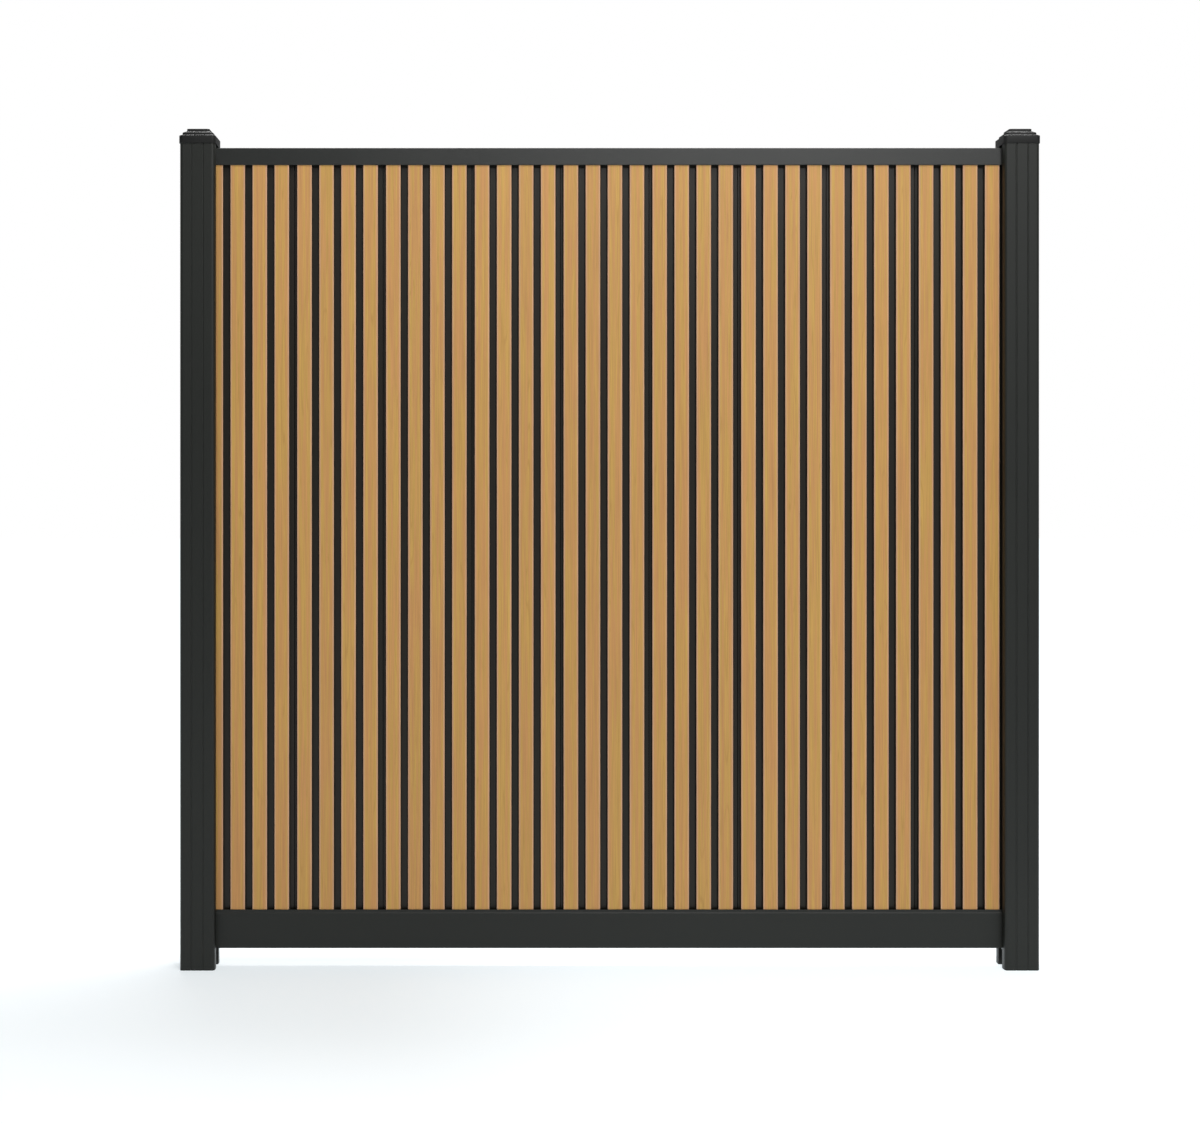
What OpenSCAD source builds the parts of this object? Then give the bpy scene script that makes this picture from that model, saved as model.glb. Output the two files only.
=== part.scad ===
/* [Panel] */
// Number of boards between the posts
board_count = 9; // [3:1:9]
// Gap between the ground and the bottom rail
ground_gap = 44; // [40:0.5:120]
// Height of board that shows between the two rails
board_view_h = 1676; // [600:1:1900]
// Gap between the first board and the floor of the slot of the left post
board_end_gap = 8; // [1:0.5:12]
// How far the last tongue reaches into the slot of the right post
board_insert_right = 16; // [10:0.5:26]

/* [Post] */
// Width of the square post section
post_w = 78; // [76:0.5:100]
// Wall thickness of the post extrusion
post_wall = 2.2; // [1.8:0.1:3]
// Radius of the outer corners of the post
post_corner_r = 7; // [4:0.5:9]
// Width of the web between the slots in the two sides of the post
web_w = 14; // [12:0.5:20]
// Clearance between the rails and each wall of the slot
slot_clear = 0.4; // [0.3:0.1:1]
// Radius of the rounded edges at the mouth of the slot
slot_lip_r = 0.8; // [0.4:0.1:1.2]
// Number of flutes on the front face and on the back face
flute_count = 2; // [1:1:4]
// Radius of the round flutes
flute_r = 2.2; // [1.5:0.1:3]
// Depth of the flutes
flute_depth = 1; // [0.5:0.1:1.2]
// Radius of the screw ports in the four corners of the post
port_r = 3.4; // [2.5:0.1:3.8]
// Wall around each screw port
port_wall = 2.2; // [1.8:0.1:2.6]

/* [Cap] */
// Gap between the top rail and the skirt of the cap
cap_gap = 6.8; // [2:0.2:20]
// Height of the skirt of the cap
cap_skirt_h = 17; // [12:0.5:30]
// Wall thickness of the cap
cap_wall = 1.7; // [1.2:0.1:3]
// Clearance between the cap and the post
cap_clear = 0.3; // [0.2:0.1:0.6]
// Thickness of the deck of the cap, which rests on the post
cap_deck_t = 3; // [2:0.2:5]
// Rise of the lower bevel of the cap
bevel_low_rise = 3.3; // [2:0.1:5]
// Run of the lower bevel of the cap
bevel_low_run = 6.5; // [4:0.1:8]
// Height of the lower tier of the cap
tier_low_h = 4.2; // [2:0.1:8]
// Rise of the upper bevel of the cap
bevel_high_rise = 4.8; // [3:0.1:8]
// Run of the upper bevel of the cap
bevel_high_run = 9; // [6:0.1:11]
// Height of the upper tier of the cap
tier_high_h = 5; // [3:0.1:8]
// Length of the legs that hold the cap inside the post
cap_leg_len = 16; // [10:1:30]
// Distance of the legs of the cap from its middle
cap_leg_x = 13; // [12:0.5:14]
// Width of the legs of the cap
cap_leg_w = 16; // [10:0.5:20]
// Thickness of the legs of the cap
cap_leg_t = 3; // [2:0.2:4]

/* [Rails] */
// Height of the top rail
top_rail_h = 38.2; // [34:0.2:60]
// Height of the bottom rail
bottom_rail_h = 86.5; // [70:0.5:120]
// Wall thickness of both rails
rail_wall = 2.6; // [2.2:0.1:3.2]
// Radius of the outer edges of both rails
rail_edge_r = 1; // [0.5:0.1:1.5]
// Depth of the socket of the bottom rail in which the boards stand
socket_depth = 30; // [20:1:40]
// Height of the thinner lip along the top of the bottom rail
lip_h = 8.3; // [5:0.1:12]
// Height of the slope between the lip and the face of the bottom rail
lip_slope_h = 3; // [2:0.1:4]
// Depth of the step between the face and the lip
lip_step = 1.2; // [0.6:0.1:1.4]
// Gap between each end of a rail and the floor of the slot
rail_end_gap = 2; // [1:0.2:3]
// Room for the boards to grow, between their tops and the top rail
growth_gap = 12.7; // [10:0.1:14]

/* [Boards] */
// Thickness of a board over its ribs
board_t = 23.4; // [21:0.2:26]
// Clearance between the boards and each wall of the rails
board_clear = 0.3; // [0.2:0.1:0.8]
// Number of ribs on a board
rib_count = 4; // [2:1:4]
// Width of a rib
rib_w = 33.2; // [26:0.2:40]
// Height of a rib above the floor of the grooves
rib_h = 11; // [8:0.2:12]
// Radius of the edges of a rib
rib_edge_r = 2; // [1:0.1:3]
// Width of the grooves between the ribs
groove_w = 16.4; // [10:0.2:24]
// Width of the lip to the left of the first rib
board_lip_w = 5.6; // [4:0.2:8]
// Thickness of that lip, which covers the tongue of the board before
board_lip_t = 6; // [5:0.1:7]
// Width of the floor to the right of the last rib
joint_floor_w = 10.2; // [8:0.2:14]
// Width of the open seam between two boards
seam_w = 2.2; // [1:0.1:4]
// Width of the tongue
tongue_w = 10.2; // [8:0.2:12]
// Clearance between the tongue and the lip over it
tongue_clear = 0.5; // [0.3:0.1:1]
// Room beyond the end of the tongue
tongue_end_gap = 3; // [2:0.2:4]
// Thickness of board in front of and behind each hollow chamber
board_skin_t = 5; // [4:0.2:6]
// Thickness of rib beside each hollow chamber
rib_side_t = 8; // [7:0.2:9]
// Radius of the corners of each hollow chamber
chamber_r = 2; // [1:0.1:3]

/* [Fixings] */
// Thickness of the angle bracket under each end of the bottom rail
bracket_t = 3; // [2:0.2:4]
// Width of the angle bracket
bracket_w = 26; // [20:0.5:28]
// Height of the upright leg of the angle bracket
bracket_drop = 34; // [32:0.5:38]
// How far the shelf of the bracket stays behind the mouth of the slot
bracket_recess = 2; // [1:0.2:6]
// Radius of the shank of the bracket screws
bracket_screw_r = 2.4; // [2:0.1:2.6]
// Height of the lower bracket screw above the foot of the bracket
bracket_screw_inset = 8; // [6:0.5:9]
// Distance between the two bracket screws
bracket_screw_pitch = 15; // [12:0.5:16]
// Height of the heads of the bracket screws
bracket_head_h = 2.6; // [2:0.1:3]
// Length of the bracket screws beyond the wall of the post
bracket_screw_bite = 5; // [3:0.2:6]
// Radius of the shank of the top rail screws
rail_screw_r = 2.1; // [1.8:0.1:2.4]
// Height of the heads of the top rail screws
rail_head_h = 1.9; // [1.4:0.1:2]
// Distance of the top rail screws from the mouth of the slot
rail_screw_inset = 18; // [17:0.5:20]
// Length of the top rail screws beyond the wall of the rail
rail_screw_bite = 3; // [2:0.2:5]
// Clearance around a screw in its thread
thread_clear = 0.1; // [0.05:0.05:0.2]
// Clearance around a screw in a plain hole
hole_clear = 0.3; // [0.2:0.1:0.5]

/* [Hidden] */
$fn = 64;
hull_fn = 32;
cut = 1;
skin = 0.01;

// Fits across the depth of the panel, from the board outwards
socket_w = board_t + 2 * board_clear;
rail_t = socket_w + 2 * rail_wall;
slot_w = rail_t + 2 * slot_clear;

// Widths along the panel
slot_depth = (post_w - web_w) / 2;
board_insert_left = slot_depth - board_end_gap;
rib_pitch = rib_w + groove_w;
ribs_w = rib_count * rib_w + (rib_count - 1) * groove_w;
board_body_w = board_lip_w + ribs_w + joint_floor_w;
board_cover = board_body_w + seam_w;
field_w = board_count * board_cover - seam_w + tongue_w;
clear_w = field_w - board_insert_left - board_insert_right;
field_x = -clear_w / 2 - board_insert_left;
post_x = (clear_w + post_w) / 2;
web_x = post_x - web_w / 2;
flange_t = (post_w - slot_w) / 2;
rail_len = 2 * (web_x - rail_end_gap);

// Heights from the ground up
bottom_rail_top = ground_gap + bottom_rail_h;
top_rail_z = bottom_rail_top + board_view_h;
top_rail_top = top_rail_z + top_rail_h;
board_z = bottom_rail_top - socket_depth;
board_top = top_rail_top - rail_wall - growth_gap;
cap_z = top_rail_top + cap_gap;
post_h = cap_z + cap_skirt_h - cap_deck_t;

// Post section
port_boss_r = port_r + port_wall;
port_bite = 0.3;
port_inset = post_wall + port_boss_r - port_bite;
port_pitch = post_w - 2 * port_inset;
flute_pitch = post_w / (flute_count + 1);

// Cap
cap_inner_w = post_w + 2 * cap_clear;
cap_w = cap_inner_w + 2 * cap_wall;
cap_corner_r = post_corner_r + cap_clear + cap_wall;
tier_low_w = cap_w - 2 * bevel_low_run;
tier_high_w = tier_low_w - 2 * bevel_high_run;
tier_low_r = cap_corner_r - bevel_low_run / 2;
tier_high_r = tier_low_r / 2;
cap_leg_y = post_w / 2 - post_wall - cap_clear - cap_leg_t / 2;

// Fixings
head_ratio = 1.85;
drive_ratio = 0.8;
tip_len = 2;
bracket_screw_z = ground_gap - bracket_drop + bracket_screw_inset;
rail_screw_x = clear_w / 2 + rail_screw_inset;
rail_screw_z = (board_top + top_rail_top - rail_wall) / 2;

metal_colour = [0.17, 0.18, 0.18];
cap_colour = [0.13, 0.13, 0.14];
board_colour = [0.72, 0.56, 0.35];
zinc_colour = [0.62, 0.64, 0.66];

// Flat rectangle about the origin with four round corners
module round_rect(w, d, r) {
    square([w - 2 * r, d], center = true);
    square([w, d - 2 * r], center = true);
    for (x = [-1, 1], y = [-1, 1])
        translate([x * (w / 2 - r), y * (d / 2 - r)]) circle(r);
}

// What rounding takes off a square corner at the origin, which fills the quarter x < 0, y < 0
module corner_waste(r) {
    difference() {
        translate([-r, -r]) square([r + cut, r + cut]);
        translate([-r, -r]) circle(r);
    }
}

// Shape between a square plate at z = 0 and a smaller one at z = rise
module bevel(w_low, r_low, w_high, r_high, rise) {
    hull() {
        linear_extrude(skin) round_rect(w_low, w_low, r_low, $fn = hull_fn);
        translate([0, 0, rise - skin])
            linear_extrude(skin) round_rect(w_high, w_high, r_high, $fn = hull_fn);
    }
}

// The two deep slots in the sides of the post
module slot_cuts() {
    for (s = [-1, 1]) mirror([s < 0 ? 1 : 0, 0]) {
        translate([web_w / 2, -slot_w / 2]) square([slot_depth + cut, slot_w]);
        translate([post_w / 2, -slot_w / 2]) corner_waste(slot_lip_r);
        translate([post_w / 2, slot_w / 2]) mirror([0, 1]) corner_waste(slot_lip_r);
    }
}

// The hollow chambers: one in each flange and one in the web
module chamber_cuts() {
    difference() {
        round_rect(post_w - 2 * post_wall, post_w - 2 * post_wall, post_corner_r - post_wall);
        square([post_w, slot_w + 2 * post_wall], center = true);
    }
    square([web_w - 2 * post_wall, slot_w], center = true);
}

module at_ports() {
    for (x = [-1, 1], y = [-1, 1])
        translate([x * port_pitch / 2, y * port_pitch / 2]) children();
}

module at_flutes() {
    for (y = [-1, 1], i = [1 : flute_count])
        translate([-post_w / 2 + i * flute_pitch, y * (post_w / 2 + flute_r - flute_depth)]) children();
}

module post_section() {
    difference() {
        union() {
            difference() {
                round_rect(post_w, post_w, post_corner_r);
                slot_cuts();
                chamber_cuts();
            }
            at_ports() circle(port_boss_r);
        }
        at_ports() circle(port_r);
        at_flutes() circle(flute_r);
    }
}

// Holes in the left post: two in the web for the bracket, one right through the rear flange
module left_post_holes() {
    for (i = [0, 1])
        translate([-web_x - post_wall - cut, 0, bracket_screw_z + i * bracket_screw_pitch])
            rotate([0, 90, 0]) cylinder(h = post_wall + 2 * cut, r = bracket_screw_r + thread_clear);
    translate([-rail_screw_x, slot_w / 2 - cut, rail_screw_z])
        rotate([-90, 0, 0]) cylinder(h = flange_t + 2 * cut, r = rail_screw_r + hole_clear);
}

module left_post() {
    color(metal_colour) difference() {
        translate([-post_x, 0, 0]) linear_extrude(post_h) post_section();
        left_post_holes();
    }
}

module right_post() {
    mirror([1, 0, 0]) left_post();
}

// Stepped top of the cap, from its skirt up
module cap_tiers() {
    bevel(cap_w, cap_corner_r, tier_low_w, tier_low_r, bevel_low_rise);
    translate([0, 0, bevel_low_rise - skin]) {
        linear_extrude(tier_low_h + skin) round_rect(tier_low_w, tier_low_w, tier_low_r, $fn = hull_fn);
        translate([0, 0, tier_low_h]) {
            bevel(tier_low_w, tier_low_r, tier_high_w, tier_high_r, bevel_high_rise);
            translate([0, 0, bevel_high_rise - skin])
                linear_extrude(tier_high_h) round_rect(tier_high_w, tier_high_w, tier_high_r, $fn = hull_fn);
        }
    }
}

// Hollows under the two tiers, which keep the cap a thin shell
module cap_hollows() {
    pocket_low_w = tier_low_w - 2 * cap_deck_t;
    pocket_high_w = tier_high_w - 2 * cap_deck_t;
    pocket_low_h = bevel_low_rise + tier_low_h;
    pocket_high_h = pocket_low_h + bevel_high_rise + tier_high_h;
    translate([0, 0, -cut]) {
        linear_extrude(pocket_low_h + cut - skin) round_rect(pocket_low_w, pocket_low_w, tier_low_r / 2);
        linear_extrude(pocket_high_h + cut - cap_deck_t) round_rect(pocket_high_w, pocket_high_w, tier_high_r);
    }
}

module cap_legs() {
    for (x = [-1, 1], y = [-1, 1])
        translate([x * cap_leg_x, y * cap_leg_y, -cap_leg_len / 2])
            cube([cap_leg_w, cap_leg_t, cap_leg_len + skin], center = true);
}

module left_post_cap() {
    color(cap_colour) translate([-post_x, 0, cap_z]) {
        difference() {
            union() {
                linear_extrude(cap_skirt_h) round_rect(cap_w, cap_w, cap_corner_r, $fn = hull_fn);
                translate([0, 0, cap_skirt_h - skin]) cap_tiers();
            }
            translate([0, 0, -cut]) linear_extrude(cap_skirt_h - cap_deck_t + cut)
                round_rect(cap_inner_w, cap_inner_w, post_corner_r + cap_clear);
            translate([0, 0, cap_skirt_h - cap_deck_t]) cap_hollows();
        }
        translate([0, 0, cap_skirt_h - cap_deck_t]) cap_legs();
    }
}

module right_post_cap() {
    mirror([1, 0, 0]) left_post_cap();
}

// Runs a section drawn in depth and height along the whole length of a rail
module rail_run() {
    translate([-rail_len / 2, 0, 0]) rotate([90, 0, 90]) linear_extrude(rail_len) children();
}

// Channel that is open downwards and takes the tops of the boards
module top_rail_section() {
    difference() {
        translate([0, top_rail_h / 2]) round_rect(rail_t, top_rail_h, rail_edge_r);
        translate([-socket_w / 2, -cut]) square([socket_w, top_rail_h - rail_wall + cut]);
    }
}

module top_rail() {
    color(metal_colour) difference() {
        translate([0, 0, top_rail_z]) rail_run() top_rail_section();
        for (s = [-1, 1])
            translate([s * rail_screw_x, socket_w / 2 - cut, rail_screw_z])
                rotate([-90, 0, 0]) cylinder(h = rail_wall + 2 * cut, r = rail_screw_r + thread_clear);
    }
}

// Hollow rail with a socket along its top, in which the boards stand
module bottom_rail_section() {
    body_h = bottom_rail_h - lip_h;
    lip_w = rail_t - 2 * lip_step;
    socket_floor = bottom_rail_h - socket_depth;
    box_h = (socket_floor - 3 * rail_wall) / 2;
    difference() {
        polygon([
            [-rail_t / 2, 0],
            [-rail_t / 2, body_h],
            [-lip_w / 2, body_h + lip_slope_h],
            [-lip_w / 2, bottom_rail_h],
            [lip_w / 2, bottom_rail_h],
            [lip_w / 2, body_h + lip_slope_h],
            [rail_t / 2, body_h],
            [rail_t / 2, 0]
        ]);
        for (s = [0, 1]) mirror([s, 0])
            translate([rail_t / 2, 0]) mirror([0, 1]) corner_waste(rail_edge_r);
        translate([-socket_w / 2, socket_floor]) square([socket_w, socket_depth + cut]);
        for (i = [0, 1])
            translate([-socket_w / 2, rail_wall + i * (box_h + rail_wall)]) square([socket_w, box_h]);
    }
}

module bottom_rail() {
    color(metal_colour) translate([0, 0, ground_gap]) rail_run() bottom_rail_section();
}

// One rib from the floor of the grooves to the face of the board, its left side at x = 0
module rib_section() {
    face_y = -board_t / 2;
    translate([0, face_y + rib_edge_r]) square([rib_w, rib_h - rib_edge_r + skin]);
    translate([rib_edge_r, face_y]) square([rib_w - 2 * rib_edge_r, rib_edge_r + skin]);
    for (x = [rib_edge_r, rib_w - rib_edge_r])
        translate([x, face_y + rib_edge_r]) circle(rib_edge_r);
}

// Section of a board, with its left edge at x = 0, its ribs to the front and its back to the rear
module board_section() {
    floor_y = -board_t / 2 + rib_h;
    base_t = board_t - rib_h;
    rebate_w = tongue_w - seam_w + tongue_end_gap;
    tongue_y = floor_y + board_lip_t + tongue_clear;
    difference() {
        union() {
            translate([0, floor_y]) square([board_body_w, base_t]);
            translate([board_body_w - skin, tongue_y])
                square([tongue_w + skin, board_t / 2 - tongue_y]);
            for (i = [0 : rib_count - 1])
                translate([board_lip_w + i * rib_pitch, 0]) rib_section();
        }
        translate([-cut, floor_y + board_lip_t]) square([rebate_w + cut, base_t]);
        for (i = [0 : rib_count - 1])
            translate([board_lip_w + rib_w / 2 + i * rib_pitch, 0])
                round_rect(rib_w - 2 * rib_side_t, board_t - 2 * board_skin_t, chamber_r);
    }
}

module board(i) {
    color(board_colour) translate([field_x + (i - 1) * board_cover, 0, board_z])
        linear_extrude(board_top - board_z) board_section();
}

// Angle with its shelf under the end of the bottom rail and its upright leg against the web
module left_rail_bracket() {
    shelf_len = slot_depth - bracket_recess;
    color(zinc_colour) difference() {
        translate([-web_x, -bracket_w / 2, ground_gap - bracket_drop]) union() {
            cube([bracket_t, bracket_w, bracket_drop]);
            translate([0, 0, bracket_drop - bracket_t]) cube([shelf_len, bracket_w, bracket_t]);
        }
        for (i = [0, 1])
            translate([-web_x - cut, 0, bracket_screw_z + i * bracket_screw_pitch])
                rotate([0, 90, 0]) cylinder(h = bracket_t + 2 * cut, r = bracket_screw_r + hole_clear);
    }
}

module right_rail_bracket() {
    mirror([1, 0, 0]) left_rail_bracket();
}

// Pan head screw along +Z: the head stands above z = 0 and the shank reaches down to its tip
module screw(shank_r, shank_len, head_h) {
    head_r = shank_r * head_ratio;
    difference() {
        rotate_extrude() {
            square([head_r, head_h / 2]);
            square([head_r - head_h / 2, head_h]);
            translate([head_r - head_h / 2, head_h / 2]) intersection() {
                circle(head_h / 2);
                square(head_h / 2);
            }
        }
        translate([0, 0, head_h / 2]) cylinder(h = head_h, r = shank_r * drive_ratio, $fn = 6);
    }
    rotate_extrude() polygon([
        [0, skin],
        [shank_r, skin],
        [shank_r, tip_len - shank_len],
        [0, -shank_len]
    ]);
}

module left_bracket_screws() {
    shank_len = bracket_t + post_wall + bracket_screw_bite;
    color(zinc_colour) for (i = [0, 1])
        translate([-web_x + bracket_t, 0, bracket_screw_z + i * bracket_screw_pitch])
            rotate([0, 90, 0]) screw(bracket_screw_r, shank_len, bracket_head_h);
}

module right_bracket_screws() {
    mirror([1, 0, 0]) left_bracket_screws();
}

module left_top_rail_screw() {
    shank_len = flange_t + slot_clear + rail_wall + rail_screw_bite;
    color(zinc_colour) translate([-rail_screw_x, post_w / 2, rail_screw_z])
        rotate([-90, 0, 0]) screw(rail_screw_r, shank_len, rail_head_h);
}

module right_top_rail_screw() {
    mirror([1, 0, 0]) left_top_rail_screw();
}

left_post();
right_post();
left_post_cap();
right_post_cap();
top_rail();
bottom_rail();
for (i = [1 : board_count])
    board(i);
left_rail_bracket();
right_rail_bracket();
left_bracket_screws();
right_bracket_screws();
left_top_rail_screw();
right_top_rail_screw();
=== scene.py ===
"""Finishes, refined small parts, studio and camera for a slatted composite fence panel.

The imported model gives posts, rails and boards at their real size and place. This script dresses them,
models the post caps, angle brackets and screws with their real edges, and sets up a plain pale studio.
All lengths are in metres: +X runs along the panel to the right, +Y from its ribbed front to its back.
"""

import logging
import math
from abc import ABC, abstractmethod
from collections.abc import Callable, Iterator, Sequence
from contextlib import contextmanager
from dataclasses import dataclass, field
from enum import Enum

import bmesh
import bpy
from mathutils import Matrix, Vector


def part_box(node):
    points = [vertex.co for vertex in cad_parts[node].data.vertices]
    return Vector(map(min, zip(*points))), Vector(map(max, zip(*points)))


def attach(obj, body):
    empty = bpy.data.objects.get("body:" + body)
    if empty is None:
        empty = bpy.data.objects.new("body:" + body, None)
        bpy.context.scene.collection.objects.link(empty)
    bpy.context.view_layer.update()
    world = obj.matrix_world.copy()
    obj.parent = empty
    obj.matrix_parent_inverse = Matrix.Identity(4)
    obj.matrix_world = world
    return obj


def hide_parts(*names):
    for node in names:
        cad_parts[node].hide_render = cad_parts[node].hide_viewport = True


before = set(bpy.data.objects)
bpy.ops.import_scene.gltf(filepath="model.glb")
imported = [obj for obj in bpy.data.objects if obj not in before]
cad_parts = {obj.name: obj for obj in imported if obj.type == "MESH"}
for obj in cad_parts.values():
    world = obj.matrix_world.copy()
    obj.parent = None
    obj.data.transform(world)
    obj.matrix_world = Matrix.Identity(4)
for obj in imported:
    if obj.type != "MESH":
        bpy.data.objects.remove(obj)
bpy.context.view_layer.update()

LOG = logging.getLogger("fence_panel")
BODY = "root"
MM = 0.001
NEAR = 0.01 * MM
SQUARE_ON = 0.9

Range = tuple[float, float]
Colour = tuple[float, float, float]
Point = tuple[float, float, float]


def srgb(red: int, green: int, blue: int) -> Colour:
    """Turns a colour as seen on a screen into the linear values that shaders take.

    Args:
        red: red from 0 to 255.
        green: green from 0 to 255.
        blue: blue from 0 to 255.

    Returns:
        The three linear values from 0 to 1.
    """
    knee, slope, offset, power = 0.04045, 12.92, 0.055, 2.4
    shares = (red / 255, green / 255, blue / 255)
    return tuple(c / slope if c <= knee else ((c + offset) / (1 + offset)) ** power for c in shares)


class Slot(Enum):
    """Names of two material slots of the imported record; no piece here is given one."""

    CAP = "cap_plastic"
    FIXING = "fixings"


class Value:
    """A number that changes over a surface: the output of one shader node, open to arithmetic."""

    def __init__(self, shader: "Shader", socket: bpy.types.NodeSocket) -> None:
        """Wraps the socket of a node in a shader."""
        self.shader = shader
        self.socket = socket

    def _math(self, operation: str, *operands: "Value | float") -> "Value":
        """Adds one Math node.

        Args:
            operation: the operation of the Math node.
            operands: its inputs in order, as values or plain numbers.

        Returns:
            The result of the node.
        """
        node = self.shader.node("Math", {"operation": operation}, dict(enumerate(operands)))
        return Value(self.shader, node.outputs[0])

    def __add__(self, other: "Value | float") -> "Value":
        """Sum with a value or a number."""
        return self._math("ADD", self, other)

    def __radd__(self, other: float) -> "Value":
        """Sum with a number on the left."""
        return self._math("ADD", other, self)

    def __sub__(self, other: "Value | float") -> "Value":
        """Difference from a value or a number."""
        return self._math("SUBTRACT", self, other)

    def __rsub__(self, other: float) -> "Value":
        """Difference with a number on the left."""
        return self._math("SUBTRACT", other, self)

    def __mul__(self, other: "Value | float") -> "Value":
        """Product with a value or a number."""
        return self._math("MULTIPLY", self, other)

    def __rmul__(self, other: float) -> "Value":
        """Product with a number on the left."""
        return self._math("MULTIPLY", other, self)

    def __truediv__(self, other: "Value | float") -> "Value":
        """Share of a value or a number."""
        return self._math("DIVIDE", self, other)

    def __mod__(self, other: float) -> "Value":
        """What is left over, never below zero, after whole steps of a number."""
        return self._math("FLOORED_MODULO", self, other)

    def floor(self) -> "Value":
        """The whole number below."""
        return self._math("FLOOR", self)

    def size(self) -> "Value":
        """The value without its sign."""
        return self._math("ABSOLUTE", self)

    def over(self, low: float, high: float) -> "Value":
        """A soft step.

        Args:
            low: where the step starts.
            high: where the step ends.

        Returns:
            0 below low, 1 above high, and a smooth rise between.
        """
        settings = {"interpolation_type": "SMOOTHSTEP"}
        node = self.shader.node("MapRange", settings, {"Value": self, "From Min": low, "From Max": high})
        return Value(self.shader, node.outputs[0])

    def swing(self, width: float) -> "Value":
        """A pattern from 0 to 1, turned into a swing of this width about zero."""
        return (self - 0.5) * width


Place = tuple[Value, Value, Value]


class Shader:
    """The node tree of one material or of the surroundings, with short calls for its nodes."""

    def __init__(self, tree: bpy.types.NodeTree) -> None:
        """Empties a node tree and starts from there."""
        self.tree = tree
        tree.nodes.clear()

    @classmethod
    def material(cls, name: str) -> tuple[bpy.types.Material, "Shader"]:
        """Starts a new material.

        Args:
            name: the name of the material.

        Returns:
            The material and the shader that fills its node tree.
        """
        made = bpy.data.materials.new(name)
        made.use_nodes = True
        return made, cls(made.node_tree)

    def node(self, kind: str, settings: dict | None = None, inputs: dict | None = None) -> bpy.types.Node:
        """Adds a node.

        Args:
            kind: the node's type without its leading words, such as "TexNoise".
            settings: properties of the node, which are set first.
            inputs: values, sockets or constants, by the name or the number of the input.

        Returns:
            The node.
        """
        made = self.tree.nodes.new(f"ShaderNode{kind}")
        for name, setting in (settings or {}).items():
            setattr(made, name, setting)
        for name, given in (inputs or {}).items():
            source = given.socket if isinstance(given, Value) else given
            if isinstance(source, bpy.types.NodeSocket):
                self.tree.links.new(source, made.inputs[name])
            else:
                made.inputs[name].default_value = source
        return made

    def place(self) -> Place:
        """The X, Y and Z of the shaded point, in metres in the panel's own frame."""
        coordinates = self.node("TexCoord")
        parts = self.node("SeparateXYZ", inputs={"Vector": coordinates.outputs["Object"]})
        return tuple(Value(self, socket) for socket in parts.outputs)

    def noise(self, x: Value, y: Value, z: Value, detail: float) -> Value:
        """Soft noise over a point that is already stretched to the grain's own scale.

        Args:
            x: first coordinate, in grains.
            y: second coordinate, in grains.
            z: third coordinate, in grains.
            detail: number of finer layers.

        Returns:
            Noise around one half.
        """
        point = self.node("CombineXYZ", inputs={"X": x, "Y": y, "Z": z})
        inputs = {"Vector": point.outputs[0], "Scale": 1.0, "Detail": detail}
        return Value(self, self.node("TexNoise", inputs=inputs).outputs[0])

    def chance(self, number: Value) -> Value:
        """A random share that stays the same for each whole number."""
        node = self.node("TexWhiteNoise", {"noise_dimensions": "1D"}, {"W": number})
        return Value(self, node.outputs[0])

    def blend(self, share: Value | float, first: Colour | bpy.types.NodeSocket,
              second: Colour | bpy.types.NodeSocket) -> bpy.types.NodeSocket:
        """Mixes two colours.

        Args:
            share: share of the second colour.
            first: a colour or the socket that gives it.
            second: a colour or the socket that gives it.

        Returns:
            The socket of the mixed colour.
        """
        first, second = ((*c, 1.0) if isinstance(c, tuple) else c for c in (first, second))
        return self.node("Mix", {"data_type": "RGBA"}, {0: share, 6: first, 7: second}).outputs[2]

    def lighten(self, colour: bpy.types.NodeSocket, factor: Value) -> bpy.types.NodeSocket:
        """Scales a colour's brightness.

        Args:
            colour: the socket of the colour.
            factor: what each channel is multiplied by.

        Returns:
            The socket of the scaled colour.
        """
        node = self.node("VectorMath", {"operation": "SCALE"}, {0: colour, "Scale": factor})
        return node.outputs[0]

    def bump(self, height: Value, depth: float,
             under: bpy.types.NodeSocket | None = None) -> bpy.types.NodeSocket:
        """Turns a height pattern into a normal.

        Args:
            height: pattern from 0 to 1.
            depth: height of the pattern in metres.
            under: the normal of a coarser pattern that this one lies on.

        Returns:
            The socket of the normal.
        """
        inputs = {"Height": height, "Distance": depth}
        if under is not None:
            inputs["Normal"] = under
        return self.node("Bump", inputs=inputs).outputs[0]

    def surface(self, **inputs: Value | float | Colour | bpy.types.NodeSocket) -> None:
        """Ends the material in one principled surface.

        Args:
            inputs: the surface's inputs, with underscores for the spaces in their names.
        """
        given = {k.replace("_", " "): v for k, v in inputs.items()}
        given = {k: (*v, 1.0) if isinstance(v, tuple) else v for k, v in given.items()}
        principled = self.node("BsdfPrincipled", inputs=given)
        self.node("OutputMaterial", inputs={"Surface": principled.outputs[0]})


@dataclass(frozen=True)
class Grain:
    """One layer of noise: how many grains it has to the metre, and how many finer layers."""

    across: float
    upright: float
    detail: float = 2

    @classmethod
    def even(cls, size: float, detail: float = 2) -> "Grain":
        """A layer whose grains are as tall as they are wide."""
        return cls(1 / size, 1 / size, detail)

    def along(self, s: Shader, across: Value, seed: Value, height: Value) -> Value:
        """Draws the layer along a rib, with another pattern for each seed."""
        return s.noise(across * self.across, seed, height * self.upright, self.detail)

    def around(self, s: Shader, place: Place) -> Value:
        """Draws the layer through the whole space of a piece."""
        x, y, z = place
        return s.noise(x * self.across, y * self.across, z * self.upright, self.detail)


class Finish(ABC):
    """A procedural material."""

    name: str

    def build(self) -> bpy.types.Material:
        """Builds the material.

        Returns:
            The material.
        """
        made, s = Shader.material(self.name)
        self.paint(s, s.place())
        return made

    @abstractmethod
    def paint(self, s: Shader, place: Place) -> None:
        """Fills the node tree.

        Args:
            s: the shader of the material.
            place: X, Y and Z of the shaded point.
        """


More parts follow.
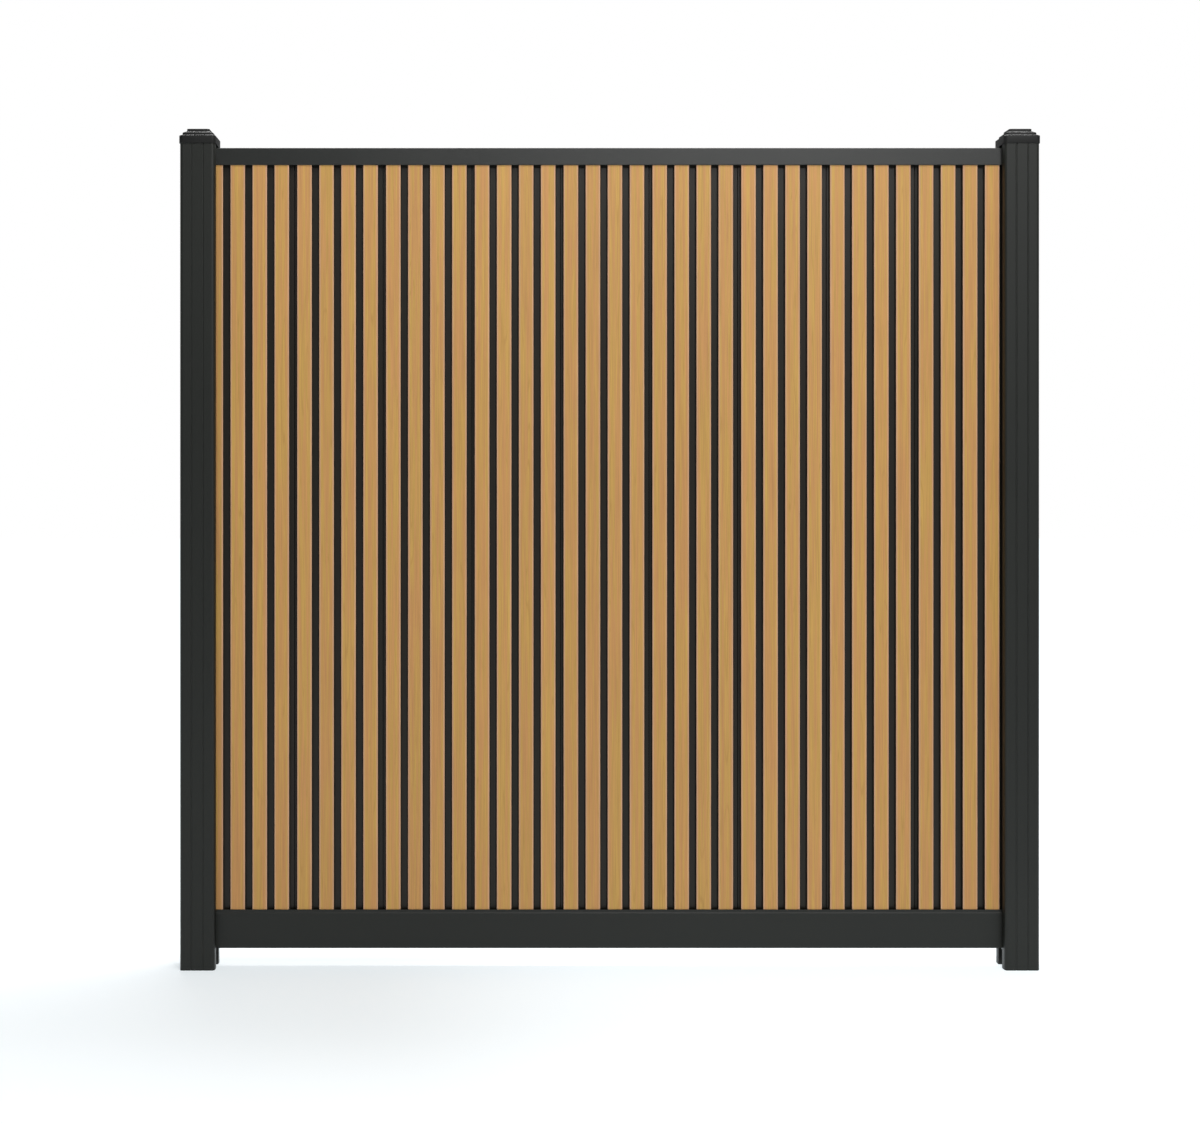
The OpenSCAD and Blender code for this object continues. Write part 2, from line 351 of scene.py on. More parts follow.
@dataclass(frozen=True)
class BoardLayout:
    """Where the ribs and grooves of the boards lie."""

    left: float
    front: float
    cover: float = 200 * MM
    lip: float = 5.6 * MM
    rib: float = 33.2 * MM
    groove: float = 16.4 * MM
    groove_depth: float = 11 * MM
    ribs: int = 4

    @classmethod
    def from_frame(cls) -> "BoardLayout":
        """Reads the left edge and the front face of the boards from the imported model."""
        low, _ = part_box("board_1")
        return cls(left=low.x, front=low.y)

    @property
    def pitch(self) -> float:
        """Distance from one rib to the next."""
        return self.rib + self.groove


@dataclass(frozen=True)
class CompositeFinish(Finish):
    """Two-tone extrusion: a tan wear layer over the rib faces of a charcoal body."""

    layout: BoardLayout
    name: str = "two_tone_composite"
    tan_pink: Colour = srgb(197, 144, 88)
    tan_gold: Colour = srgb(191, 150, 79)
    tan_deep: Colour = srgb(160, 112, 58)
    # Paler tan painted over the rounded rib edges as a highlight.
    tan_highlight: Colour = srgb(201, 158, 126)
    charcoal: Colour = srgb(30, 25, 17)
    charcoal_fleck: Colour = srgb(50, 46, 40)
    layer_depth: float = 1.35 * MM
    layer_fade: float = 0.12 * MM
    highlight_band: float = 5 * MM
    highlight_share: float = 0.9
    rib_spread: float = 0.05
    band_spread: float = 0.3
    streak_spread: float = 0.45
    grain_depth: float = 0.18 * MM
    corner_band: float = 3 * MM
    corner_depth: Range = (0.5 * MM, MM)
    roughness_tan: float = 0.48
    roughness_streak: float = 0.16
    roughness_charcoal: float = 0.4
    roughness_corner: float = 0.85
    specular: float = 0.33
    waver: Grain = Grain(45, 1.6, 1)
    bands: Grain = Grain(150, 3.2)
    streaks: Grain = Grain(420, 7, 3)
    fibres: Grain = Grain(2400, 38)
    flecks: Grain = Grain(1500, 420)
    drawn: Grain = Grain(900, 3)
    tone_start: float = 3.5
    seed_span: float = 60
    band_seed: float = 11
    streak_seed: float = 23
    fibre_seed: float = 31
    rings: float = 90
    ring_waver: float = 11
    ring_edge: Range = (0.72, 0.98)
    flame_edge: Range = (0.4, 0.62)
    pore_edge: Range = (0.58, 0.7)
    gold_edge: Range = (0.36, 0.64)
    fleck_edge: Range = (0.6, 0.75)
    drawn_edge: Range = (0.5, 0.8)
    flame_share: float = 0.3
    pore_share: float = 0.22
    fleck_share: float = 0.5
    drawn_share: float = 0.2
    uneven: float = 0.5 * MM
    streak_height: float = 0.5
    fibre_height: float = 0.35
    flame_height: float = 0.25
    drawn_height: float = 0.5

    def paint(self, s: Shader, place: Place) -> None:
        """Draws the boards, with another grain on every rib."""
        x, y, z = place
        lay = self.layout
        along = x - lay.left
        board = (along / lay.cover).floor()
        inside = along % lay.cover - lay.lip
        step = (inside / lay.pitch).floor()
        across = inside - step * lay.pitch
        rib_number = board * lay.ribs + step
        tone = s.chance(rib_number + self.tone_start)
        seed = tone * self.seed_span

        waver = self.waver.along(s, across, seed, z)
        bands = self.bands.along(s, across, seed + self.band_seed, z)
        streaks = self.streaks.along(s, across, seed + self.streak_seed, z)
        fibres = self.fibres.along(s, across, seed + self.fibre_seed, z)
        rings = ((waver * self.ring_waver + across * self.rings) % 1.0 - 0.5).size() * 2
        flame = rings.over(*self.ring_edge) * bands.over(*self.flame_edge)
        pores = fibres.over(*self.pore_edge)

        tan = s.blend(bands.over(*self.gold_edge), self.tan_pink, self.tan_gold)
        tan = s.blend(flame * self.flame_share + pores * self.pore_share, tan, self.tan_deep)
        # Painted highlight: each rib turns paler towards its two rounded edges, where light glances off them.
        from_middle = (across - lay.rib / 2).size()
        edge_highlight = from_middle.over(lay.rib / 2 - self.highlight_band, lay.rib / 2 - self.highlight_band / 4)
        tan = s.blend(edge_highlight * self.highlight_share, tan, self.tan_highlight)
        level = 1 + tone.swing(self.rib_spread) + bands.swing(self.band_spread)
        tan = s.lighten(tan, level + streaks.swing(self.streak_spread))

        flecks = self.flecks.around(s, place)
        drawn = self.drawn.around(s, place)
        speckled = flecks.over(*self.fleck_edge) * self.fleck_share
        dark = s.blend(speckled + drawn.over(*self.drawn_edge) * self.drawn_share,
                       self.charcoal, self.charcoal_fleck)
        edge = lay.front + self.layer_depth + streaks.swing(self.uneven)
        covered = 1 - (y - edge).over(-self.layer_fade, self.layer_fade)
        colour = s.blend(covered, dark, tan)
        wood = streaks * self.streak_height + fibres * self.fibre_height - flame * self.flame_height
        height = covered * wood + (1 - covered) * drawn * self.drawn_height
        from_wall = lay.groove / 2 - (across - lay.rib - lay.groove / 2).size()
        below_floor = y - lay.front - lay.groove_depth
        corner = 1 - from_wall.over(self.corner_band / 3, self.corner_band)
        corner = corner * (1 - below_floor.over(*self.corner_depth))
        rough_dark = self.roughness_charcoal + corner * (self.roughness_corner - self.roughness_charcoal)
        rough_tan = self.roughness_tan + streaks.swing(self.roughness_streak)
        s.surface(
            Base_Color=colour,
            Roughness=covered * rough_tan + (1 - covered) * rough_dark,
            Specular_IOR_Level=self.specular,
            Normal=s.bump(height, self.grain_depth),
        )


@dataclass(frozen=True)
class PowderCoat(Finish):
    """Fine-textured powder coat on extruded aluminium."""

    name: str
    colour: Colour
    colour_far: Colour
    roughness: float
    specular: float
    specks: Grain = Grain.even(0.42 * MM)
    speck_depth: float = 0.035 * MM
    speck_contrast: float = 0.28
    speck_roughness: float = 0.14
    ripples: Grain = Grain.even(5 * MM, 1)
    ripple_depth: float = 0.03 * MM
    drift: Grain = Grain(4, 1.3, 3)
    drift_edge: Range = (0.35, 0.65)
    drift_roughness: float = 0.1

    def paint(self, s: Shader, place: Place) -> None:
        """Draws a dark coat with a fine speck, slow ripple and faint unevenness."""
        specks = self.specks.around(s, place)
        ripples = self.ripples.around(s, place)
        drift = self.drift.around(s, place)
        colour = s.blend(drift.over(*self.drift_edge), self.colour, self.colour_far)
        uneven = specks.swing(self.speck_roughness) + drift.swing(self.drift_roughness)
        s.surface(
            Base_Color=s.lighten(colour, 1 + specks.swing(self.speck_contrast)),
            Roughness=self.roughness + uneven,
            Specular_IOR_Level=self.specular,
            Normal=s.bump(specks, self.speck_depth, under=s.bump(ripples, self.ripple_depth)),
        )


@dataclass(frozen=True)
class MouldedPlastic(Finish):
    """Dark injection-moulded cap plastic with a spark-eroded grain."""

    name: str = "moulded_cap_plastic"
    colour: Colour = srgb(22, 22, 21)
    colour_worn: Colour = srgb(34, 34, 33)
    roughness: float = 0.5
    specular: float = 0.28
    pits: Grain = Grain.even(0.55 * MM, 3)
    pit_depth: float = 0.015 * MM
    pit_contrast: float = 0.2
    pit_roughness: float = 0.16
    smudges: Grain = Grain(35, 35)
    smudge_edge: Range = (0.55, 0.8)
    smudge_share: float = 0.35
    smudge_roughness: float = 0.12

    def paint(self, s: Shader, place: Place) -> None:
        """Draws the moulded grain and the smudges."""
        pits = self.pits.around(s, place)
        smudge = self.smudges.around(s, place)
        colour = s.blend(smudge.over(*self.smudge_edge) * self.smudge_share, self.colour, self.colour_worn)
        s.surface(
            Base_Color=s.lighten(colour, 1 + pits.swing(self.pit_contrast)),
            Roughness=self.roughness + pits.swing(self.pit_roughness) + smudge.swing(self.smudge_roughness),
            Specular_IOR_Level=self.specular,
            Normal=s.bump(pits, self.pit_depth),
        )


@dataclass(frozen=True)
class ZincPlate(Finish):
    """Bright zinc plate on steel, with faint crystals and a little tarnish."""

    name: str = "zinc_plate"
    colour: Colour = srgb(196, 199, 203)
    tarnish: Colour = srgb(150, 150, 146)
    crystal: float = 1.6 * MM
    crystal_middle: float = 0.4
    crystal_roughness: float = 0.12
    crystal_height: float = 0.4
    clouds: Grain = Grain(180, 180, 3)
    cloud_edge: Range = (0.42, 0.7)
    cloud_share: float = 0.6
    cloud_roughness: float = 0.3
    brushed: Grain = Grain(2600, 160)
    brushed_height: float = 0.6
    depth: float = 0.02 * MM
    roughness: float = 0.34

    def paint(self, s: Shader, place: Place) -> None:
        """Draws the crystals, the tarnish and the marks of brushing."""
        coordinates = s.node("TexCoord").outputs["Object"]
        crystals = s.node("TexVoronoi", inputs={"Vector": coordinates, "Scale": 1 / self.crystal})
        facet = Value(s, crystals.outputs["Distance"])
        cloud = self.clouds.around(s, place)
        brushed = self.brushed.around(s, place)
        uneven = cloud.swing(self.cloud_roughness) + (facet - self.crystal_middle) * self.crystal_roughness
        s.surface(
            Base_Color=s.blend(cloud.over(*self.cloud_edge) * self.cloud_share, self.colour, self.tarnish),
            Metallic=1.0,
            Roughness=self.roughness + uneven,
            Normal=s.bump(brushed * self.brushed_height + facet * self.crystal_height, self.depth),
        )


@dataclass(frozen=True)
class FloorPaint(Finish):
    """Plain pale floor of the studio with a painted glow of its own, which keeps it pale and lights the panel
    from below.
    """

    name: str = "pale_floor"
    colour: Colour = (0.5, 0.5, 0.5)
    glow_colour: Colour = (0.88, 0.96, 1.0)
    band: float = 0.56
    band_far: float = 5.0
    band_near: float = 1.1
    # A round patch of painted light on the floor at the right front, which lights the feet of the posts.
    light_pool: float = 0.22
    light_pool_place: tuple[float, float] = (0.7, -0.2)
    light_pool_radius: float = 1.3
    behind: float = 0.8
    behind_edge: float = 0.3
    far: float = 0.55
    far_start: float = 2.0
    far_end: float = 6.0
    roughness: float = 0.9
    specular: float = 0.1

    def paint(self, s: Shader, place: Place) -> None:
        """Draws the floor with its painted glow: a band and a round patch of painted light in front that
        light the panel from below, more glow all behind, and far off.
        """
        x, y, _ = place
        away_x, away_y = x - self.light_pool_place[0], y - self.light_pool_place[1]
        distance = (away_x * away_x + away_y * away_y) / self.light_pool_radius ** 2
        # Painted light: a glowing round patch at the right front, brightest at its middle.
        light_pool = (1 - distance.over(0, 1)) * self.light_pool
        # Painted glow in a band in front of the panel, which keeps the floor pale and lights the panel from
        # below.
        band = y.over(-self.band_far, -self.band_near) * self.band
        behind = y.over(0, self.behind_edge) * self.behind
        far = (x * x + y * y).over(self.far_start ** 2, self.far_end ** 2) * self.far
        glow = band + light_pool + behind + far
        s.surface(
            Base_Color=self.colour,
            Roughness=self.roughness,
            Specular_IOR_Level=self.specular,
            Emission_Color=s.blend(glow, (0.0, 0.0, 0.0), self.glow_colour),
            Emission_Strength=1.0,
        )


class Part(Enum):
    """What is selected in edit mode."""

    EDGES = "EDGE"
    FACES = "FACE"


class Workpiece:
    """One mesh that is shaped with the modelling operators, as by hand."""

    def __init__(self, obj: bpy.types.Object) -> None:
        """Takes over a mesh object that was just added."""
        self.obj = obj

    @classmethod
    def block(cls, name: str, low: Sequence[float], high: Sequence[float]) -> "Workpiece":
        """Starts from a cube between two corners.

        Args:
            name: name of the piece.
            low: its lowest corner.
            high: its highest corner.

        Returns:
            The new workpiece.
        """
        middle = [(a + b) / 2 for a, b in zip(low, high)]
        bpy.ops.object.select_all(action="DESELECT")
        bpy.ops.mesh.primitive_cube_add(size=1, location=middle, scale=[b - a for a, b in zip(low, high)])
        return cls.take(name)

    @classmethod
    def rod(cls, name: str, foot: Sequence[float], radius: float, height: float,
            sides: int = 48) -> "Workpiece":
        """Starts from an upright cylinder.

        Args:
            name: name of the piece.
            foot: middle of its lower end.
            radius: its radius.
            height: its height.
            sides: number of its sides.

        Returns:
            The new workpiece.
        """
        middle = (foot[0], foot[1], foot[2] + height / 2)
        bpy.ops.object.select_all(action="DESELECT")
        bpy.ops.mesh.primitive_cylinder_add(vertices=sides, radius=radius, depth=height, location=middle)
        return cls.take(name)

    @classmethod
    def take(cls, name: str) -> "Workpiece":
        """Names the object that was just added and moves its place into its mesh."""
        obj = bpy.context.object
        obj.name = name
        bpy.ops.object.transform_apply(location=True, rotation=True, scale=True)
        return cls(obj)

    def activate(self) -> None:
        """Makes this the only selected and active object."""
        bpy.ops.object.select_all(action="DESELECT")
        self.obj.select_set(True)
        bpy.context.view_layer.objects.active = self.obj

    @contextmanager
    def editing(self) -> Iterator[None]:
        """Holds edit mode open while the mesh is shaped."""
        self.activate()
        bpy.ops.object.mode_set(mode="EDIT")
        yield
        bpy.ops.object.mode_set(mode="OBJECT")

    def select(self, part: Part, test: Callable[[bmesh.types.BMEdge | bmesh.types.BMFace], bool]) -> None:
        """Selects edges or faces by their place or normal.

        Args:
            part: edges or faces.
            test: says of each one whether it is selected.
        """
        bpy.ops.mesh.select_mode(type=part.value)
        bpy.ops.mesh.select_all(action="DESELECT")
        mesh = bmesh.from_edit_mesh(self.obj.data)
        for one in mesh.edges if part is Part.EDGES else mesh.faces:
            one.select_set(bool(test(one)))
        bmesh.update_edit_mesh(self.obj.data)

    def select_edges(self, place: tuple[float | None, ...]) -> None:
        """Selects the edges that lie on a line or in a plane.

        Args:
            place: X, Y and Z of the line or plane, with None for each axis that is free.
        """
        self.select(Part.EDGES, lambda e: all(
            abs(v.co[axis] - fixed) < NEAR
            for v in e.verts for axis, fixed in enumerate(place) if fixed is not None))

    def select_level(self, height: float, up: bool) -> None:
        """Selects the flat faces at a height.

        Args:
            height: height of the faces.
            up: whether they face up rather than down.
        """
        sign = 1 if up else -1
        self.select(Part.FACES, lambda f: (
            sign * f.normal.z > SQUARE_ON and abs(f.calc_center_median().z - height) < NEAR))

    def extrude(self, move: Point) -> None:
        """Extrudes the selected faces along a vector."""
        bpy.ops.mesh.extrude_region_move(TRANSFORM_OT_translate={"value": move})

    def resize(self, factors: Point, centre: Point) -> None:
        """Scales what is selected about a point."""
        bpy.ops.transform.resize(value=factors, center_override=centre)

    def bevel(self, width: float, segments: int) -> None:
        """Rounds the selected edges."""
        bpy.ops.mesh.bevel(offset=width, segments=segments, affect="EDGES", clamp_overlap=True)

    def apply(self, kind: str, **settings: object) -> None:
        """Adds a modifier and applies it at once.

        Args:
            kind: the modifier's type.
            settings: its properties.
        """
        modifier = self.obj.modifiers.new(kind.lower(), kind)
        for name, setting in settings.items():
            setattr(modifier, name, setting)
        self.activate()
        bpy.ops.object.modifier_apply(modifier=modifier.name)

    def combine(self, tool: "Workpiece", operation: str) -> None:
        """Cuts away or adds another workpiece, which is used up.

        Args:
            tool: the other workpiece.
            operation: DIFFERENCE or UNION.
        """
        self.apply("BOOLEAN", object=tool.obj, operation=operation, solver="EXACT")
        bpy.data.objects.remove(tool.obj)

    def join(self, others: Sequence["Workpiece"]) -> None:
        """Joins other workpieces into this one without merging their walls."""
        self.activate()
        for other in others:
            other.obj.select_set(True)
        bpy.ops.object.join()

    def move(self, matrix: Matrix) -> None:
        """Moves the mesh itself, and turns its faces outwards again after a mirroring."""
        self.obj.data.transform(matrix)
        if matrix.determinant() < 0:
            self.face_outwards()

    def face_outwards(self) -> None:
        """Makes all faces point outwards."""
        with self.editing():
            bpy.ops.mesh.select_all(action="SELECT")
            bpy.ops.mesh.normals_make_consistent(inside=False)

    def ease_edges(self, width: float, segments: int = 3, angle: float = 40) -> None:
        """Rounds every sharp edge a little and shades the rest smooth.

        Args:
            width: width of the rounding.
            segments: number of its facets.
            angle: edges sharper than this many degrees are rounded.
        """
        limit = math.radians(angle)
        self.apply("BEVEL", width=width, segments=segments, limit_method="ANGLE", angle_limit=limit)
        self.activate()
        bpy.ops.object.shade_smooth_by_angle(angle=limit)

    def copy(self, name: str) -> "Workpiece":
        """Makes a copy with its own mesh."""
        twin = self.obj.copy()
        twin.data = self.obj.data.copy()
        twin.name = name
        bpy.context.scene.collection.objects.link(twin)
        return Workpiece(twin)


def mount(piece: Workpiece, node: str, finish: bpy.types.Material) -> None:
    """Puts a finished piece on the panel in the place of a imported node.

    Args:
        piece: the finished piece.
        node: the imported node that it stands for.
        finish: its material.
    """
    piece.obj.data.materials.clear()
    piece.obj.data.materials.append(finish)
    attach(piece.obj, BODY)
    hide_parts(node)
    LOG.info("%s stands for %s, %d faces", piece.obj.name, node, len(piece.obj.data.polygons))


def dress(nodes: Sequence[str], finish: bpy.types.Material) -> None:
    """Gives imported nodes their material.

    Args:
        nodes: names of the nodes.
        finish: their material.
    """
    for name in nodes:
        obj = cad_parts[name]
        for index in range(len(obj.material_slots)):
            obj.material_slots[index].material = finish
        LOG.info("%s dressed in %s", name, finish.name)


@dataclass
class Boards:
    """The slatted boards between the posts."""

    layout: BoardLayout = field(default_factory=BoardLayout.from_frame)

    def build(self) -> None:
        """Dresses every board in the two-tone composite."""
        names = sorted(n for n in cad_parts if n.startswith("board_"))
        dress(names, CompositeFinish(self.layout).build())


@dataclass
class Metalwork:
    """The posts and rails, which share a powder coat in two batches."""

    post_coat: PowderCoat = PowderCoat(
        "post_powder_coat", srgb(13, 16, 10), srgb(16, 19, 13), roughness=0.5, specular=0.46)
    rail_coat: PowderCoat = PowderCoat(
        "top_rail_powder_coat", srgb(13, 16, 12), srgb(16, 19, 15), roughness=0.38, specular=0.6)

    def build(self) -> None:
        """Dresses the two posts and the two rails."""
        dress(["left_post", "right_post", "bottom_rail"], self.post_coat.build())
        dress(["top_rail"], self.rail_coat.build())


@dataclass
class PostCaps:
    """The stepped caps that close the tops of the posts."""

    finish: bpy.types.Material
    wall: float = 1.7 * MM
    skirt: float = 17 * MM
    deck: float = 3 * MM
    corner_radius: float = 9 * MM
    corner_segments: int = 10
    low_bevel: tuple[float, float] = (6.5 * MM, 3.3 * MM)
    low_tier: float = 4.2 * MM
    high_bevel: tuple[float, float] = (9 * MM, 4.8 * MM)
    high_tier: float = 5 * MM
    edge_radius: float = 0.6 * MM
    leg_size: Point = (16 * MM, 3 * MM, 16 * MM)
    leg_place: tuple[float, float] = (13 * MM, 35 * MM)

    def _grow(self, piece: Workpiece, axis: float, width: float, top: float,
              run: float, rise: float) -> float:
        """Adds one step of the cap on its topmost face.

        Args:
            piece: the cap so far.
            axis: X of the middle of the cap.
            width: width of the topmost face.
            top: its height.
            run: how far the step draws in on each side.
            rise: height of the step.

        Returns:
            The height of the new topmost face.
        """
        piece.select_level(top, up=True)
        piece.extrude((0, 0, rise))
        factor = (width - 2 * run) / width
        piece.resize((factor, factor, 1), (axis, 0, top + rise))
        return top + rise

    def _hollow(self, piece: Workpiece, axis: float, factor: float, level: float, depth: float) -> float:
        """Sinks a pocket into a downward face.

        Args:
            piece: the cap so far.
            axis: X of the middle of the cap.
            factor: width of the pocket as a share of the face's width.
            level: height of the face.
            depth: depth of the pocket.

        Returns:
            The height of the pocket's own face.
        """
        piece.select_level(level, up=False)
        piece.extrude((0, 0, 0))
        piece.resize((factor, factor, 1), (axis, 0, level))
        piece.extrude((0, 0, depth))
        return level + depth

    def model(self, node: str) -> Workpiece:
        """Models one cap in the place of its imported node.

        Args:
            node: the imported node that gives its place.

        Returns:
            The finished cap.
        """
        low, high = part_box(node)
        axis = (low.x + high.x) / 2
        width = high.x - low.x
        top = high.z - self.low_bevel[1] - self.low_tier - self.high_bevel[1] - self.high_tier
        foot = top - self.skirt
        piece = Workpiece.block(f"{node}_moulding", (low.x, low.y, foot), (high.x, high.y, top))
        low_width = width - 2 * self.low_bevel[0]
        high_width = low_width - 2 * self.high_bevel[0]
        inner_width = width - 2 * self.wall
        with piece.editing():
            piece.select(Part.EDGES, lambda e: abs((e.verts[0].co - e.verts[1].co).z) > self.skirt / 2)
            piece.bevel(self.corner_radius, self.corner_segments)
            level = self._grow(piece, axis, width, top, *self.low_bevel)
            level = self._grow(piece, axis, low_width, level, 0, self.low_tier)
            level = self._grow(piece, axis, low_width, level, *self.high_bevel)
            level = self._grow(piece, axis, high_width, level, 0, self.high_tier)
            under = self._hollow(piece, axis, inner_width / width, foot, self.skirt - self.deck)
            pocket = (low_width - 2 * self.deck) / inner_width
            under = self._hollow(piece, axis, pocket, under, self.low_bevel[1] + self.low_tier)
            narrow = (high_width - 2 * self.deck) / (low_width - 2 * self.deck)
            self._hollow(piece, axis, narrow, under, level - self.deck - under)
        self._add_legs(piece, axis, low.z + self.leg_size[2])
        piece.ease_edges(self.edge_radius)
        return piece

    def _add_legs(self, piece: Workpiece, axis: float, root: float) -> None:
        """Adds the four legs that grip the inside of the post.

        Args:
            piece: the cap so far.
            axis: X of the middle of the cap.
            root: height at which the legs start.
        """
        across, thick, length = self.leg_size
        for side in (-1, 1):
            for end in (-1, 1):
                x, y = axis + side * self.leg_place[0], end * self.leg_place[1]
                leg = Workpiece.block(
                    "cap_leg",
                    (x - across / 2, y - thick / 2, root - length),
                    (x + across / 2, y + thick / 2, root + self.deck / 2),
                )
                piece.combine(leg, "UNION")

    def build(self) -> None:
        """Models the left cap, copies it to the right post and mounts both."""
        left = self.model("left_post_cap")
        right = left.copy("right_post_cap_moulding")
        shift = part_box("right_post_cap")[0].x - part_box("left_post_cap")[0].x
        right.move(Matrix.Translation((shift, 0, 0)))
        mount(left, "left_post_cap", self.finish)
        mount(right, "right_post_cap", self.finish)


@dataclass
class AngleBracket:
    """The bent steel angle in the slot of a post that carries one end of the bottom rail."""

    thickness: float = 3 * MM
    inner_bend: float = 2 * MM
    corner: float = 5 * MM
    hole_radius: float = 2.7 * MM
    edge_radius: float = 0.35 * MM
    bend_segments: int = 8

    def model(self, node: str, screws: str) -> Workpiece:
        """Models the left bracket: an upright leg on the web of the post and a shelf under the rail.

        Args:
            node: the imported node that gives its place.
            screws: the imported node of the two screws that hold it.

        Returns:
            The finished bracket.
        """
        low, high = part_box(node)
        thick = self.thickness
        shelf_under = high.z - thick
        piece = Workpiece.block(f"{node}_bent", low, (low.x + thick, high.y, high.z))
        with piece.editing():
            bpy.ops.mesh.select_all(action="SELECT")
            bpy.ops.mesh.bisect(plane_co=(low.x, 0, shelf_under), plane_no=(0, 0, 1))
            piece.select(Part.FACES, lambda f: (
                f.normal.x > SQUARE_ON and f.calc_center_median().z > shelf_under))
            piece.extrude((high.x - low.x - thick, 0, 0))
            piece.select_edges((low.x, None, high.z))
            piece.bevel(self.inner_bend + thick, self.bend_segments)
            piece.select_edges((low.x + thick, None, shelf_under))
            piece.bevel(self.inner_bend, self.bend_segments)
            piece.select(Part.EDGES, lambda e: abs((e.verts[0].co - e.verts[1].co).y) < NEAR and (
                all(abs(v.co.x - high.x) < NEAR for v in e.verts)
                or all(abs(v.co.z - low.z) < NEAR for v in e.verts)))
            piece.bevel(self.corner, self.bend_segments)
        for _, height in screw_axes(screws):
            drill = Workpiece.rod("drill", (0, 0, -2 * thick), self.hole_radius, 4 * thick)
            drill.move(Matrix.Translation((low.x, 0, height)) @ Matrix.Rotation(math.pi / 2, 4, "Y"))
            piece.combine(drill, "DIFFERENCE")
        piece.ease_edges(self.edge_radius, segments=2)
        return piece


def screw_axes(node: str) -> list[tuple[float, float]]:
    """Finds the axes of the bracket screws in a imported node.

    Args:
        node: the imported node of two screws, one above the other.

    Returns:
        Y and Z of each axis.
    """
    low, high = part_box(node)
    head_radius = (high.y - low.y) / 2
    return [((low.y + high.y) / 2, height) for height in (low.z + head_radius, high.z - head_radius)]


@dataclass
class PanHeadScrew:
    """A thread-forming screw with a domed head and a cross recess, pointing down from z = 0."""

    head_radius: float
    head_height: float
    length: float
    pitch: float
    thread_share: float = 0.54
    core_share: float = 0.78
    tip: float = 2 * MM
    tip_share: float = 0.2
    dome_share: float = 0.7
    recess_half_width: float = 0.62 * MM
    recess_span: float = 0.5
    recess_depth: float = 0.75
    recess_taper: float = 0.55
    sink: float = 0.12 * MM
    thread_width: float = 0.55
    thread_start: float = 0.6
    thread_steps: int = 20
    core_sides: int = 32
    head_sides: int = 64
    dome_segments: int = 7
    rim_share: float = 1 / 12
    rim_segments: int = 2
    smooth_angle: float = 35

    @property
    def major_radius(self) -> float:
        """Radius over the crest of the thread."""
        return self.head_radius * self.thread_share

    def model(self, name: str) -> Workpiece:
        """Models the screw from core, head, recess and thread.

        Args:
            name: name of the piece.

        Returns:
            The finished screw.
        """
        core_radius = self.major_radius * self.core_share
        bottom = self.tip - self.length
        shank = self.head_height / 3 - bottom
        piece = Workpiece.rod(name, (0, 0, bottom), core_radius, shank, sides=self.core_sides)
        with piece.editing():
            piece.select_level(bottom, up=False)
            piece.extrude((0, 0, -self.tip))
            piece.resize((self.tip_share, self.tip_share, 1), (0, 0, -self.length))
        piece.combine(self._head(), "UNION")
        piece.combine(self._thread(core_radius), "UNION")
        piece.activate()
        bpy.ops.object.shade_smooth_by_angle(angle=math.radians(self.smooth_angle))
        return piece

    def _head(self) -> Workpiece:
        """Models the domed head with its cross recess."""
        height = self.head_height
        head = Workpiece.rod("screw_head", (0, 0, 0), self.head_radius, height, sides=self.head_sides)
        with head.editing():
            head.select_edges((None, None, height))
            head.bevel(height * self.dome_share, self.dome_segments)
            head.select_edges((None, None, 0))
            head.bevel(height * self.rim_share, self.rim_segments)
        span = self.head_radius * self.recess_span
        half = self.recess_half_width
        floor = height * (1 - self.recess_depth)
        for across, along in ((span, half), (half, span)):
            wing = Workpiece.block("recess_wing", (-across, -along, floor), (across, along, height + half))
            with wing.editing():
                wing.select_level(floor, up=False)
                wing.resize((self.recess_taper, self.recess_taper, 1), (0, 0, floor))
            head.combine(wing, "DIFFERENCE")
        return head

    def _thread(self, core_radius: float) -> Workpiece:
        """Models the thread as a triangle swept along a helix.

        The triangle is a circle of three sides, which is 1.5 radii high and the root of 3 radii wide.

        Args:
            core_radius: radius of the core that the thread sits on.

        Returns:
            The thread, closed at both ends.
        """
        radius = (self.major_radius - core_radius + self.sink) / 1.5
        start = self.thread_start * self.tip - self.length
        turns = int((-start - self.pitch) / self.pitch)
        bpy.ops.object.select_all(action="DESELECT")
        bpy.ops.mesh.primitive_circle_add(
            vertices=3,
            radius=radius,
            location=(core_radius - self.sink + radius / 2, 0, start),
            rotation=(math.pi / 2, math.pi / 2, 0),
            scale=(self.thread_width * self.pitch / (math.sqrt(3) * radius), 1, 1),
        )
        thread = Workpiece.take("screw_thread")
        thread.apply("SCREW", axis="Z", angle=2 * math.pi, screw_offset=self.pitch, iterations=turns,
                     steps=self.thread_steps, render_steps=self.thread_steps)
        with thread.editing():
            bpy.ops.mesh.select_all(action="SELECT")
            bpy.ops.mesh.fill_holes(sides=4)
        thread.face_outwards()
        return thread


